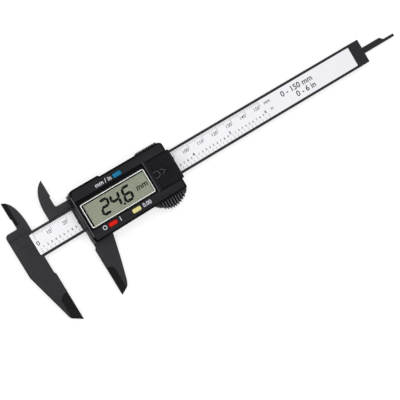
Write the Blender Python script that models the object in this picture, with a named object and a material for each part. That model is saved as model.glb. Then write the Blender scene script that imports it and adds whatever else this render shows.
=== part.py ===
"""Digital caliper, 150 mm, with a moulded plastic body.

Drawn in millimetres and scaled to metres when each mesh is made.
The beam runs along X, from the fixed jaw's measuring face at x = 0.  The inside jaws
point to +Y, the display faces +Z, and the caliper lies on its back plate at z = 0.
The slider is drawn in its own frame, whose x = 0 is the moving jaw's measuring face.
"""

import math

import bmesh
import bpy
from mathutils import Matrix, Vector

# ---------------------------------------------------------------- driving sizes (mm)
MM = 0.001
READING = 24.6                 # how far the jaws stand open
GAP = 0.3                      # clearance between neighbouring pieces

BEAM_END = 226.5
BEAM_HALF = 7.7                # half the beam's width
BEAM_BACK = 1.7
BEAM_FRONT = 5.3
JAW_LEFT = -13.2
JAW_TIP = -48.1
INSIDE_TIP = 28.8
INSIDE_FACE = -6.0             # inside measuring edge, on the beam and on the slider
HALF_LAP_BACK = 3.35           # the inside jaws pass each other on either side of this gap
HALF_LAP_FRONT = 3.65
SHOULDER_TOP = 12.4

LABEL_LEFT = -2.0
LABEL_RIGHT = 218.3
LABEL_HALF = 6.2
RECESS_FLOOR = 3.9
GRID = (4.1, 4.6)
LABEL = (4.8, 5.05)

ROD_HALF = 1.9
ROD = (1.85, 3.15)
ROD_GROOVE_TOP = 3.45
ROD_LEFT = 43.0
ROD_TIP = BEAM_END             # flush with the beam's end when the jaws are shut

FRAME_TOP = 6.3
WEB_BACK = 5.6
BOARD = (6.6, 7.4)
HOUSING_BACK = 6.6
HOUSING_FRONT = 14.6
BUTTON_TOP = 15.0
RECESS = 13.7                  # floor of the sunken field round the display
CEILING = 12.9
BATTERY_CEILING = 12.0
SLOT = (12.6, 13.8)            # the battery cover's tongues run in this slot
BACK_PLATE = (0.0, 1.4)

DISPLAY = (24.1, -1.2)        # centre of the bezel
BEZEL = (40.6, 14.6)
BEZEL_RIM = 0.75
RECESS_BOX = (2.4, 45.2, -9.5, 8.8)
COVER_BOX = (46.4, 61.7, -9.9, 8.3)
TONGUE = 0.8
BUTTON_SIZE = (5.5, 2.8)
BUTTONS = {"unit": (30.2, 10.5), "power": (14.6, -11.4), "zero": (29.6, -11.7)}
BATTERY = (53.6, -0.8)
BATTERY_SIZE = (5.8, 7.1, 12.5)

HOUSING_SCREWS = [(4.0, 11.2), (4.0, -11.6), (57.8, 11.2), (57.8, -11.6)]
PLATE_SCREWS = [(12.0, 11.4), (12.0, -11.4), (48.0, 11.4), (48.0, -11.4)]
BOARD_SCREWS = [(20.5, 11.2), (22.3, -11.4)]
GUIDE_SCREWS = [(222.0, 5.2), (222.0, -5.2)]

# the middle of the whole outline, which sits over the origin
CENTRE = ((JAW_LEFT + READING + ROD_TIP) / 2, (JAW_TIP + INSIDE_TIP) / 2)

# ---------------------------------------------------------------- scene and materials


def clear_scene():
    for old in list(bpy.data.objects):
        bpy.data.objects.remove(old, do_unlink=True)


def material(name, colour, roughness, metallic=0.0, alpha=1.0):
    made = bpy.data.materials.new(name)
    made.use_nodes = True
    shader = made.node_tree.nodes["Principled BSDF"]
    shader.inputs["Base Color"].default_value = (*colour, 1.0)
    shader.inputs["Roughness"].default_value = roughness
    shader.inputs["Metallic"].default_value = metallic
    shader.inputs["Alpha"].default_value = alpha
    return made


def make_materials():
    return {
        "composite": material("composite", (0.036, 0.035, 0.040), 0.55),
        "housing": material("housing", (0.017, 0.016, 0.020), 0.45),
        "cover": material("cover", (0.012, 0.011, 0.016), 0.5),
        "label": material("label", (0.85, 0.85, 0.90), 0.4),
        "board": material("board", (0.02, 0.12, 0.05), 0.5),
        "silver": material("silver", (0.72, 0.72, 0.70), 0.25, 1.0),
        "steel": material("steel", (0.55, 0.55, 0.56), 0.3, 1.0),
        "brass": material("brass", (0.70, 0.48, 0.22), 0.35, 1.0),
        "window": material("window", (0.9, 0.9, 0.9), 0.05, 0.0, 0.3),
        "lcd": material("lcd", (0.27, 0.30, 0.19), 0.3),
        "holder": material("holder", (0.6, 0.6, 0.58), 0.5),
        "rubber": material("rubber", (0.05, 0.05, 0.05), 0.8),
        "silicone": material("silicone", (0.45, 0.45, 0.43), 0.7),
        "epoxy": material("epoxy", (0.01, 0.01, 0.01), 0.3),
        "blue": material("blue", (0.013, 0.21, 0.45), 0.4),
        "red": material("red", (0.70, 0.014, 0.010), 0.4),
        "yellow": material("yellow", (0.90, 0.82, 0.30), 0.4),
    }


def empty(name, at, parent=None):
    made = bpy.data.objects.new(name, None)
    made.location = Vector((at[0], at[1], 0.0)) * MM
    made.parent = parent
    bpy.context.scene.collection.objects.link(made)
    return made


# ---------------------------------------------------------------- outlines


def arc(centre, radius, start, end, count=5):
    """Points on a round corner, from one angle in degrees to another."""
    points = []
    for step in range(count + 1):
        angle = math.radians(start + (end - start) * step / count)
        points.append((centre[0] + radius * math.cos(angle), centre[1] + radius * math.sin(angle)))
    return points


def curve(start, control_a, control_b, end, count=8):
    """Points on a cubic Bezier curve."""
    points = []
    for step in range(count + 1):
        t = step / count
        weights = ((1 - t) ** 3, 3 * t * (1 - t) ** 2, 3 * t * t * (1 - t), t ** 3)
        ends = (start, control_a, control_b, end)
        points.append(tuple(sum(w * p[axis] for w, p in zip(weights, ends)) for axis in (0, 1)))
    return points


def rectangle(x0, x1, y0, y1, radius=0.0, count=3):
    """A rectangle's outline, counter-clockwise, with round corners if asked."""
    if radius == 0.0:
        return [(x0, y0), (x1, y0), (x1, y1), (x0, y1)]
    points = arc((x0 + radius, y0 + radius), radius, 180, 270, count)
    points += arc((x1 - radius, y0 + radius), radius, 270, 360, count)
    points += arc((x1 - radius, y1 - radius), radius, 0, 90, count)
    points += arc((x0 + radius, y1 - radius), radius, 90, 180, count)
    return points


def centred(centre, size, radius=0.0, count=3):
    half_x = size[0] / 2
    half_y = size[1] / 2
    return rectangle(centre[0] - half_x, centre[0] + half_x, centre[1] - half_y, centre[1] + half_y,
                     radius, count)


# ---------------------------------------------------------------- solids


def finish(name, mesh_data, parent, colour, at=(0.0, 0.0, 0.0)):
    """Turn a bmesh drawn in millimetres into a named object under its body's empty."""
    bmesh.ops.recalc_face_normals(mesh_data, faces=mesh_data.faces)
    bmesh.ops.transform(mesh_data, matrix=Matrix.Scale(MM, 4), verts=mesh_data.verts)
    mesh = bpy.data.meshes.new(name)
    mesh_data.to_mesh(mesh)
    mesh_data.free()
    mesh.shade_smooth()
    mesh.set_sharp_from_angle(angle=math.radians(30))
    made = bpy.data.objects.new(name, mesh)
    made.location = Vector(at) * MM
    made.parent = parent
    if colour is not None:
        mesh.materials.append(colour)
    bpy.context.scene.collection.objects.link(made)
    return made


def ring_of(mesh_data, points):
    return [mesh_data.verts.new(point) for point in points]


def skin(mesh_data, rings):
    """Close a row of equal rings into one solid."""
    count = len(rings[0])
    for low, high in zip(rings, rings[1:]):
        for index in range(count):
            after = (index + 1) % count
            mesh_data.faces.new((low[index], low[after], high[after], high[index]))
    mesh_data.faces.new(list(reversed(rings[0])))
    mesh_data.faces.new(rings[-1])


def prism(name, outline, z0, z1, parent, colour=None, at=(0.0, 0.0, 0.0)):
    """An outline raised from z0 to z1.  Either level may be a function of the point."""
    mesh_data = bmesh.new()
    rings = []
    for level in (z0, z1):
        rings.append(ring_of(mesh_data, [(x, y, level(x, y) if callable(level) else level)
                                         for x, y in outline]))
    skin(mesh_data, rings)
    return finish(name, mesh_data, parent, colour, at)


def turned(name, profile, parent, colour=None, at=(0.0, 0.0, 0.0), sides=20, axis="Z"):
    """A solid of revolution from (radius, height) pairs, both ends closed."""
    mesh_data = bmesh.new()
    rings = []
    for radius, height in profile:
        rings.append(ring_of(mesh_data, [(radius * math.cos(2 * math.pi * side / sides),
                                          radius * math.sin(2 * math.pi * side / sides), height)
                                         for side in range(sides)]))
    skin(mesh_data, rings)
    if axis == "X":
        bmesh.ops.rotate(mesh_data, matrix=Matrix.Rotation(math.pi / 2, 3, "Y"), verts=mesh_data.verts)
    return finish(name, mesh_data, parent, colour, at)


def hide_tool(tool):
    tool.hide_render = True
    tool.display_type = "WIRE"
    tool.hide_set(True)
    return tool


def boolean(target, tool, operation):
    step = target.modifiers.new(operation.title(), "BOOLEAN")
    step.operation = operation
    step.solver = "EXACT"
    step.object = hide_tool(tool)


def cut(target, *tools):
    for tool in tools:
        boolean(target, tool, "DIFFERENCE")


def join(target, *tools):
    for tool in tools:
        boolean(target, tool, "UNION")


def soften(target, width, segments=2, angle=40):
    """Round the edges of a solid by a small radius."""
    step = target.modifiers.new("Bevel", "BEVEL")
    step.width = width * MM
    step.segments = segments
    step.limit_method = "ANGLE"
    step.angle_limit = math.radians(angle)


# ---------------------------------------------------------------- the beam


def knife_cutters(name, parent, x_edge, x_root, y_top, y_tip, levels, edge_depth):
    """Two wedges that thin an outside jaw's tip towards its measuring face, front and back."""
    reach = x_root - x_edge
    radius = abs(reach) * 0.62
    side = 1 if reach > 0 else -1
    outside = x_edge - side
    corner = [(x_root + side * radius * (math.cos(math.radians(a)) - 1), y_top - radius
               + radius * math.sin(math.radians(a))) for a in (0, 22, 45, 68, 90)]
    outline = [(outside, y_tip), (x_root, y_tip)] + corner + [(outside, y_top)]
    back, front = levels

    def depth(x):
        return edge_depth * (1 - (x - x_edge) / reach)

    front_cut = prism(name + "_front", outline, lambda x, y: front - depth(x), front + 1, parent)
    back_cut = prism(name + "_back", outline, back - 1, lambda x, y: back + depth(x), parent)
    return front_cut, back_cut


def main_beam(parent, look):
    jaw_and_beam = [
        (BEAM_END, BEAM_HALF), (JAW_LEFT, BEAM_HALF), (JAW_LEFT, -14.3),
        (-6.3, -42.5), (-5.2, -44.5), (0.0, JAW_TIP), (0.0, -19.0), (-0.7, -17.8),
        (-0.7, -BEAM_HALF), (BEAM_END, -BEAM_HALF),
    ]
    beam = prism("main_beam", jaw_and_beam, BEAM_BACK, BEAM_FRONT, parent, look["composite"])
    recess = rectangle(LABEL_LEFT - 0.25, LABEL_RIGHT + 0.25, -LABEL_HALF - 0.25, LABEL_HALF + 0.25)
    recess = prism("label_recess", recess, RECESS_FLOOR, BEAM_FRONT + 1, parent)
    groove = rectangle(READING + ROD_LEFT - 30, BEAM_END + 1, -ROD_HALF - GAP, ROD_HALF + GAP)
    groove = prism("rod_groove", groove, BEAM_BACK - 1, ROD_GROOVE_TOP, parent)
    cut(beam, recess, groove)
    soften(beam, 0.2)
    for index, (x, y) in enumerate(GUIDE_SCREWS):
        cut(beam, turned(f"guide_hole_{index}", [(1.0, BEAM_BACK - 1), (1.0, 4.4)], parent,
                         at=(x, y, 0), sides=12))
    shoulder = arc((JAW_LEFT + 2.2, SHOULDER_TOP - 2.2), 2.2, 180, 90)
    shoulder += [(0.8, SHOULDER_TOP), (0.8, 6.0), (JAW_LEFT, 6.0)]
    shoulder = prism("fixed_shoulder", shoulder, BEAM_BACK, HALF_LAP_BACK, parent)
    jaw = [(-6.3, SHOULDER_TOP - 1.0), (-6.3, SHOULDER_TOP)]
    jaw += arc((-6.3, SHOULDER_TOP + 0.8), 0.8, 270, 360, 3)
    jaw += [(-5.5, 18.3), (INSIDE_FACE, 18.9)]
    jaw += curve((INSIDE_FACE, 28.7), (-1.3, 27.3), (0.75, 20.3), (0.8, SHOULDER_TOP))
    jaw += [(0.8, SHOULDER_TOP - 1.0)]
    jaw = prism("fixed_inside_jaw", jaw, BEAM_BACK, HALF_LAP_BACK - 0.25, parent)
    join(beam, shoulder, jaw)
    edge = rectangle(INSIDE_FACE - 1, -3.5, 14.2, 29.0)
    slope = prism("fixed_inside_bevel", edge,
                  lambda x, y: HALF_LAP_BACK - 0.25 - 0.42 * (-3.5 - x), HALF_LAP_BACK + 1, parent)
    cut(beam, slope)
    cut(beam, *knife_cutters("fixed_jaw_bevel", parent, 0.0, -5.3, -30.5, JAW_TIP - 1,
                             (BEAM_BACK, BEAM_FRONT), 1.15))
    return beam


def scale(parent, look):
    board = rectangle(LABEL_LEFT, LABEL_RIGHT, -LABEL_HALF, LABEL_HALF)
    prism("scale_grid_board", board, *GRID, parent, look["board"])
    prism("scale_label", board, *LABEL, parent, look["label"])


def rod_guide(parent, look):
    plate = prism("rod_guide_plate", rectangle(218.4, BEAM_END, -BEAM_HALF, BEAM_HALF, 0.8), 0.6,
                  BEAM_BACK - 0.2, parent, look["composite"])
    for index, (x, y) in enumerate(GUIDE_SCREWS):
        cut(plate, turned(f"guide_plate_hole_{index}", [(2.0, 0.5), (2.0, 0.65), (1.1, 1.55), (1.1, 2)],
                          parent, at=(x, y, 0), sides=16))
        turned(f"guide_plate_screw_{index + 1}", [(1.5, 0.6), (1.5, 0.72), (0.7, 1.5), (0.7, 4.1)],
               parent, look["steel"], at=(x, y, 0), sides=16)


# ---------------------------------------------------------------- the slider's frame


def rib_loft(name, parent, outer_edge, first, pitch, count, inner, levels, depth):
    """A grip whose ribs run over its sloping front.  outer_edge(x) gives the outline."""
    back, low, high, tuck = levels
    side = 1 if outer_edge(first) > inner else -1
    mesh_data = bmesh.new()
    stations = [(first - pitch * 0.75, 0.4)]
    for tooth in range(count):
        middle = first + pitch * tooth
        stations += [(middle - pitch * 0.5, 1.0), (middle - pitch * 0.2, 0.0), (middle + pitch * 0.2, 0.0)]
    stations += [(first + pitch * (count - 0.5), 1.0), (first + pitch * (count - 0.25), 0.4)]
    rings = []
    for x, sunk in stations:
        outer = outer_edge(x) - side * depth * sunk
        section = [(inner - side * 1.3, back), (outer, back), (outer, low - depth * 0.5 * sunk),
                   (inner, high - depth * 0.6 * sunk), (inner, tuck), (inner - side * 1.3, tuck)]
        rings.append(ring_of(mesh_data, [(x, y, z) for y, z in section]))
    skin(mesh_data, rings)
    return finish(name, mesh_data, parent, None)


def moving_inside_jaw(parent):
    jaw = [(0.9 + 4, 7.9), (0.9 + 4, SHOULDER_TOP - 0.1), (-5.7, SHOULDER_TOP - 0.1)]
    jaw += list(reversed(arc((-5.6, SHOULDER_TOP + 0.9), 1.0, 180, 270, 3)))
    jaw += [(-6.6, 18.3), (INSIDE_FACE, 18.9)]
    jaw += curve((INSIDE_FACE, INSIDE_TIP), (-10.5, 26.5), (-13.0, 20.5), (JAW_LEFT, 13.0))
    jaw += [(JAW_LEFT, 7.9)]
    return prism("moving_inside_jaw", jaw, HALF_LAP_FRONT, BEAM_FRONT, parent)


def slider_frame(parent, look):
    body = [(0.7, -15.0), (60.4, -15.0), (60.4, 14.0), (1.1, 14.0)]
    frame = prism("slider_frame", body, BEAM_BACK, FRAME_TOP, parent, look["composite"])
    soften(frame, 0.25)
    outside = [(0.9, -13.0), (0.9, -18.1), (0.0, -19.4), (0.0, JAW_TIP), (4.7, -45.3), (6.2, -42.4),
               (9.7, -30.0), (13.9, -13.0)]
    outside = prism("moving_outside_jaw", outside, BEAM_BACK, BEAM_FRONT, parent)
    soften(outside, 0.2)
    inside = moving_inside_jaw(parent)

    def crescent(x):
        t = min(max((x - 43.7) / 16.0, 0.0), 1.0)
        return -18.7 - 3.2 * math.sin(math.pi * t ** 0.86) ** 0.9

    thumb = rib_loft("thumb_grip", parent, crescent, 45.1, 1.65, 9, -15.9,
                     (BEAM_BACK, 7.8, 8.7, FRAME_TOP - 0.2), 0.6)
    lead_in = prism("thumb_grip_left", [(40.3, -14.0), (41.3, -15.9), (44.1, -18.5), (44.9, -18.5),
                                        (44.9, -14.0)], BEAM_BACK, FRAME_TOP - 0.3, parent)
    ramp = prism("thumb_grip_ramp", [(41.5, -15.95), (44.2, -18.4), (44.8, -18.4), (44.8, -15.95)],
                 FRAME_TOP - 1, lambda x, y: 6.1 + (x - 41.5) * 0.6, parent)
    lead_out = prism("thumb_grip_right", [(58.5, -14.0), (58.5, -18.4), (60.1, -17.8), (61.5, -16.4),
                                          (61.6, -14.9), (60.2, -14.0)], BEAM_BACK, FRAME_TOP - 0.3, parent)
    shelf = prism("thumb_grip_shelf", [(58.6, -15.95), (58.6, -18.3), (60.0, -17.7), (61.3, -16.3),
                                       (61.4, -15.95)], FRAME_TOP - 1, 8.1, parent)
    finger = rib_loft("finger_grip", parent, lambda x: 15.6, 47.2, 1.68, 8, 14.7,
                      (BEAM_BACK, 7.6, 8.8, FRAME_TOP - 0.2), 0.45)
    lip = prism("frame_lip", rectangle(-0.2, 3.0, -7.5, 7.5), WEB_BACK, FRAME_TOP - 0.1, parent)
    join(frame, outside, inside, lead_in, lead_out, ramp, shelf, thumb, finger, lip)
    channel = prism("beam_channel", rectangle(-20, 80, -8.0, 8.0), BEAM_BACK - 1, WEB_BACK, parent)
    gib_pocket = prism("gib_pocket", rectangle(9.6, 54.4, 7.0, 8.95), BEAM_BACK - 1, 5.2, parent)
    sensor = prism("sensor_window", rectangle(8.0, 42.0, -6.6, 6.6, 0.8), WEB_BACK - 1, FRAME_TOP + 1, parent)
    cut(frame, channel, gib_pocket, sensor)
    slope = prism("moving_inside_bevel", rectangle(-8.5, INSIDE_FACE + 1, 14.2, 29.5), HALF_LAP_FRONT - 1,
                  lambda x, y: HALF_LAP_FRONT + 0.42 * (x + 8.5), parent)
    cut(frame, slope)
    cut(frame, *knife_cutters("moving_jaw_bevel", parent, 0.0, 4.0, -31.0, JAW_TIP - 1,
                              (BEAM_BACK, BEAM_FRONT), 1.15))
    for index, (x, y) in enumerate(HOUSING_SCREWS):
        cut(frame, turned(f"frame_bore_{index}", [(2.1, BEAM_BACK - 1), (2.1, 3.2), (1.1, 3.2), (1.1, 7)],
                          parent, at=(x, y, 0), sides=16))
    for index, (x, y) in enumerate(PLATE_SCREWS):
        cut(frame, turned(f"frame_hole_{index}", [(1.1, BEAM_BACK - 1), (1.1, 5.2)], parent,
                          at=(x, y, 0), sides=12))
    for index, (x, y) in enumerate(BOARD_SCREWS):
        cut(frame, turned(f"board_hole_{index}", [(0.9, 3.6), (0.9, FRAME_TOP + 1)], parent,
                          at=(x, y, 0), sides=12))
    return frame


def gib_strip(parent, look):
    """A thin leaf, bowed so that its middle presses towards the beam's edge."""
    left, right, count = 10.0, 54.0, 12
    near, far = [], []
    for step in range(count + 1):
        x = left + (right - left) * step / count
        bow = 8.15 + 0.35 * (2 * step / count - 1) ** 2
        near.append((x, bow))
        far.append((x, bow + 0.2))
    prism("gib_strip", near + list(reversed(far)), 2.1, 4.9, parent, look["brass"])


# ---------------------------------------------------------------- the housing


def housing_outline():
    outline = [(0.3, -14.2), (1.2, -16.0), (38.0, -15.6)]
    outline += arc((59.65, -14.4), 1.2, 270, 360, 4)
    outline += arc((58.35, 11.9), 2.5, 0, 90, 5)
    outline += [(21.5, 14.4), (20.7, 15.3), (3.5, 15.3), (1.5, 13.8), (1.0, 12.3)]
    return outline


def button_openings(parent):
    tools = []
    for name, centre in BUTTONS.items():
        size = (BUTTON_SIZE[0] + 0.4, BUTTON_SIZE[1] + 0.4)
        tools.append(prism(name + "_button_hole", centred(centre, size, 0.9), CEILING - 1.5,
                           HOUSING_FRONT + 1, parent))
    return tools


def front_housing(parent, look):
    housing = prism("front_housing", housing_outline(), HOUSING_BACK, HOUSING_FRONT, parent, look["housing"])
    soften(housing, 0.6, 3, 50)
    x0, x1, y0, y1 = RECESS_BOX
    inner = rectangle(2.1, 59.7, -14.2, 13.0, 1.2)
    cavity = prism("inner_space", inner, HOUSING_BACK - 1, BATTERY_CEILING, parent)
    above = prism("display_space", rectangle(2.1, 44.6, -14.2, 13.0, 1.2), BATTERY_CEILING - 1, CEILING, parent)
    for index, (x, y) in enumerate(HOUSING_SCREWS):
        for space in (cavity, above):
            cut(space, turned(f"screw_post_{index}", [(2.2, HOUSING_BACK - 2), (2.2, HOUSING_FRONT)], parent,
                              at=(x, y, 0), sides=16))
    sunken = prism("display_field", rectangle(x0, x1, y0, y1, 0.8), RECESS, HOUSING_FRONT + 1, parent)
    opening = (BEZEL[0] + 0.6, BEZEL[1] + 0.6)
    window = prism("display_opening", centred(DISPLAY, opening, 1.0), CEILING - 2, RECESS + 1, parent)
    cut(housing, cavity, above, sunken, window)
    x0, x1, y0, y1 = COVER_BOX
    mouth = prism("cover_mouth", rectangle(x0 - GAP, 70, y0 - GAP, y1 + GAP), SLOT[0] + 0.5,
                  HOUSING_FRONT + 1, parent)
    slot = prism("cover_slot", rectangle(x0 - GAP, 70, y0 - TONGUE - GAP, y1 + TONGUE + GAP), *SLOT, parent)
    well = prism("battery_well", rectangle(47.2, 59.4, y0 + 0.7, y1 - 0.7, 1.0), BATTERY_CEILING - 1,
                 SLOT[0] + 0.5, parent)
    cut(housing, slot, mouth, well)
    cut(housing, *button_openings(parent))
    for index, (x, y) in enumerate(HOUSING_SCREWS):
        cut(housing, turned(f"post_hole_{index}", [(1.1, HOUSING_BACK - 1), (1.1, 11.0)], parent,
                            at=(x, y, 0), sides=12))
    return housing


def battery_cover(parent, look):
    """The cover's plate, with a tongue down each long side and a lip over the slider's end."""
    x0, x1, y0, y1 = [edge - start for edge, start in zip(COVER_BOX, (COVER_BOX[0],) * 2 + (0, 0))]
    cover = prism("battery_cover", rectangle(x0, x1, y0, y1), CEILING, HOUSING_FRONT, parent, look["cover"])
    soften(cover, 0.2)
    tongues = prism("cover_tongues", rectangle(x0 + 0.2, x1 - 0.9, y0 - TONGUE, y1 + TONGUE), CEILING, 13.5,
                    parent)
    lip = prism("cover_lip", rectangle(x1 - 0.3, x1 + 0.4, y0 + 0.4, y1 - 0.4, 0.25, 2), 10.6,
                HOUSING_FRONT - 0.2, parent)
    join(cover, tongues, lip)
    return cover


# ---------------------------------------------------------------- display and electronics


def display(parent, look):
    bezel = prism("display_bezel", centred(DISPLAY, BEZEL, 0.9), CEILING, RECESS + 0.35, parent, look["silver"])
    inner = (BEZEL[0] - 2 * BEZEL_RIM, BEZEL[1] - 2 * BEZEL_RIM)
    cut(bezel, prism("bezel_opening", centred(DISPLAY, inner, 0.4), CEILING - 1, RECESS + 1, parent))
    glass = (inner[0] - 0.5, inner[1] - 0.5)
    prism("display_window", centred(DISPLAY, glass, 0.3), 13.0, 13.6, parent, look["window"])
    prism("lcd_panel", centred(DISPLAY, (39.8, 14.4)), 11.2, 12.6, parent, look["lcd"])
    holder = prism("lcd_holder", centred(DISPLAY, (40.6, 15.8), 0.5), 7.7, 10.9, parent, look["holder"])
    cut(holder, prism("holder_opening", centred(DISPLAY, (36.6, 12.0)), 7, 12, parent))
    prism("zebra_connector", rectangle(8.0, 40.2, 2.6, 4.4), 7.7, 10.9, parent, look["rubber"])


def circuit_board(parent, look):
    x0, x1, y0, y1 = 5.2, 46.4, -13.1, 12.6
    notch = 2.6
    outline = [(x0 + notch, y0), (x1, y0), (x1, y1), (x0 + notch, y1), (x0 + notch, 8.4), (x0, 8.4),
               (x0, -8.8), (x0 + notch, -8.8)]
    board = prism("circuit_board", outline, *BOARD, parent, look["board"])
    for index, (x, y) in enumerate(BOARD_SCREWS):
        cut(board, turned(f"board_bore_{index}", [(1.0, 5), (1.0, 9)], parent, at=(x, y, 0), sides=12))
        turned(f"board_screw_{index + 1}", [(0.6, 4.0), (0.6, 7.6), (1.3, 7.7), (1.3, 8.4)], parent,
               look["steel"], at=(x, y, 0), sides=12)
    turned("controller_chip", [(3.4, 7.7), (3.3, 8.2), (2.4, 8.7), (1.0, 8.9)], parent, look["epoxy"],
           at=(20.0, -2.5, 0), sides=20)
    turned("quartz_crystal", [(0.9, -3.0), (1.0, -2.9), (1.0, 2.9), (0.9, 3.0)], parent, look["steel"],
           at=(32.0, -3.0, 8.8), sides=12, axis="X")


def battery(parent, look):
    radius, low, high = BATTERY_SIZE
    rim = 0.5
    profile = [(radius - 1.2, low), (radius - 1.2, low + 0.4), (radius - rim, low + 0.4),
               (radius, low + 0.4 + rim), (radius, high - rim), (radius - rim, high)]
    turned("battery_cell", profile, parent, look["steel"], at=(*BATTERY, 0), sides=28)


def contact(name, parent, look, riser_y, riser_top, pad):
    """A leaf with a foot on the board, an upright, and for the lower one a pad under the cell."""
    foot_x, upright_x = 45.0, 46.9
    low, high = riser_y
    strip = prism(name, rectangle(foot_x, upright_x + 0.25, low, high), 7.65, 7.9, parent, look["brass"])
    bottom = 7.7 if pad is None else 6.6
    join(strip, prism(name + "_riser", rectangle(upright_x, upright_x + 0.25, low, high), bottom,
                      riser_top, parent))
    if pad is not None:
        join(strip, prism(name + "_pad", rectangle(upright_x, pad[0], low, high), 6.6, 6.82, parent))
        join(strip, prism(name + "_leaf", rectangle(pad[0] - 5, pad[0], low, pad[1]), 6.58, 6.8, parent))


def button(name, parent, look):
    """A cap with a collar that keeps it inside the housing."""
    cap = prism(name, centred((0, 0), BUTTON_SIZE, 0.7), 10.3, BUTTON_TOP, parent, look)
    soften(cap, 0.25)
    collar = (BUTTON_SIZE[0] + 1.2, BUTTON_SIZE[1] + 1.2)
    join(cap, prism(name + "_collar", centred((0, 0), collar, 0.9), 11.8, CEILING - GAP, parent))
    return cap


def button_pads(parent, look):
    for name, centre in BUTTONS.items():
        prism(name + "_button_pad", centred(centre, (4.6, 2.2), 0.6), 7.7, 10.0, parent, look["silicone"])


# ---------------------------------------------------------------- back plate, rod and screws


def back_plate(parent, look):
    plate = prism("back_plate", rectangle(1.5, 60.0, -13.8, 13.8, 1.5), *BACK_PLATE, parent, look["composite"])
    soften(plate, 0.2)
    cut(plate, prism("rod_hook_slot", rectangle(44.4, 47.8, -1.3, 1.3), -1, 3, parent))
    for index, (x, y) in enumerate(PLATE_SCREWS):
        cut(plate, turned(f"plate_hole_{index}", [(2.3, -0.1), (2.3, 0.2), (1.2, 1.3), (1.2, 2)], parent,
                          at=(x, y, 0), sides=16))
        turned(f"back_plate_screw_{index + 1}", [(1.9, 0.1), (1.9, 0.25), (0.8, 1.3), (0.8, 4.8)], parent,
               look["steel"], at=(x, y, 0), sides=16)
    for index, (x, y) in enumerate(HOUSING_SCREWS):
        turned(f"housing_screw_{index + 1}", [(1.75, 1.75), (1.75, 2.85), (0.8, 2.9), (0.8, 10.5)], parent,
               look["steel"], at=(x, y, 0), sides=14)


def depth_rod(parent, look):
    """A flat bar with a stepped tip, hooked into the back plate."""
    notch = -0.1
    outline = [(ROD_LEFT, -ROD_HALF), (ROD_TIP, -ROD_HALF), (ROD_TIP, notch), (ROD_TIP - 7.6, notch),
               (ROD_TIP - 9.9, ROD_HALF), (ROD_LEFT, ROD_HALF)]
    rod = prism("depth_rod", outline, *ROD, parent, look["composite"])
    soften(rod, 0.12, 1)
    join(rod, prism("rod_hook", rectangle(44.8, 47.4, -0.9, 0.9), 0.4, ROD[0] + 0.5, parent))
    return rod


# ---------------------------------------------------------------- assembly


def build():
    clear_scene()
    look = make_materials()
    datum = empty("caliper", (-CENTRE[0], -CENTRE[1]))
    main_beam(datum, look)
    scale(datum, look)
    rod_guide(datum, look)
    slider = empty("slider", (READING, 0.0), datum)
    slider_frame(slider, look)
    gib_strip(slider, look)
    front_housing(slider, look)
    display(slider, look)
    circuit_board(slider, look)
    battery(slider, look)
    contact("battery_contact_positive", slider, look, (-2.0, 2.0), 11.6, None)
    contact("battery_contact_negative", slider, look, (-6.6, -4.2), 8.2, (55.0, 1.0))
    button_pads(slider, look)
    back_plate(slider, look)
    depth_rod(slider, look)
    cover = empty("cover_slide", (COVER_BOX[0], 0.0), slider)
    battery_cover(cover, look)
    for name, colour in (("unit", "blue"), ("power", "red"), ("zero", "yellow")):
        guide = empty(name + "_guide", BUTTONS[name], slider)
        button(name + "_button", guide, look[colour])


build()
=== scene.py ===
import math

import bmesh
import bpy
from mathutils import Euler, Matrix, Vector


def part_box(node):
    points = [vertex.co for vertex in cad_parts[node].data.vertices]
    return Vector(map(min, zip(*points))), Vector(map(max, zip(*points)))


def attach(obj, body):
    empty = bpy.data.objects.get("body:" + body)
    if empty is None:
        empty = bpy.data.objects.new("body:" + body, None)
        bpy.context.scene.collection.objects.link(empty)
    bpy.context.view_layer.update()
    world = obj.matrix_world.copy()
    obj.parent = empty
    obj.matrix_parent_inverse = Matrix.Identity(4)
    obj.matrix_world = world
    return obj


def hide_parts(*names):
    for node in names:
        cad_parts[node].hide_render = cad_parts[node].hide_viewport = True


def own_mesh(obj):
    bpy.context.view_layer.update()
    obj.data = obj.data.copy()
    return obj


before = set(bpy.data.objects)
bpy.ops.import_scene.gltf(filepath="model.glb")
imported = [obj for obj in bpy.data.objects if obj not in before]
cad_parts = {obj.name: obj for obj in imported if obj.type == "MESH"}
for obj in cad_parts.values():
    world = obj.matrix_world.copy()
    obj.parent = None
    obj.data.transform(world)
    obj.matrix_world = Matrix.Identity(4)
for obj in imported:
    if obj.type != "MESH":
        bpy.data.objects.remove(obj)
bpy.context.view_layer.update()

# ======== sizes (mm)
# The beam's own frame has x = 0 on the fixed measuring face; the slider's has x = 0 on the
# moving one.  In both, y = 0 is the beam's middle and z = 0 is what the caliper lies on.
MM = 0.001
BEAM_END = 226.5
BEAM_HALF = 7.7
BEAM_BACK, BEAM_FRONT = 1.7, 5.3
JAW_LEFT = -13.2
JAW_TIP = -48.1
INSIDE_TIP = 28.8
INSIDE_FACE = -6.0
HALF_LAP_BACK, HALF_LAP_FRONT = 3.35, 3.65
FIXED_INSIDE_FRONT = HALF_LAP_BACK - 0.25
SHOULDER_TOP = 12.4
SHOULDER_RIGHT = 0.8
JAW_RIM = 0.28
KNIFE_DEPTH = 1.15             # how much each side of a jaw's tip thins at its measuring edge
INSIDE_SLOPE = 0.42            # how steeply an inside jaw thins, per millimetre across it

LABEL_LEFT, LABEL_RIGHT = -2.0, 218.3
LABEL_HALF = 6.2
LABEL_BACK, LABEL_FRONT = 4.8, 5.05
RECESS_FLOOR = 3.9

ROD_HALF = 1.9
ROD_BACK, ROD_FRONT = 1.85, 3.15
ROD_LEFT = 43.0
GROOVE_LEFT = 37.6

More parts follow.
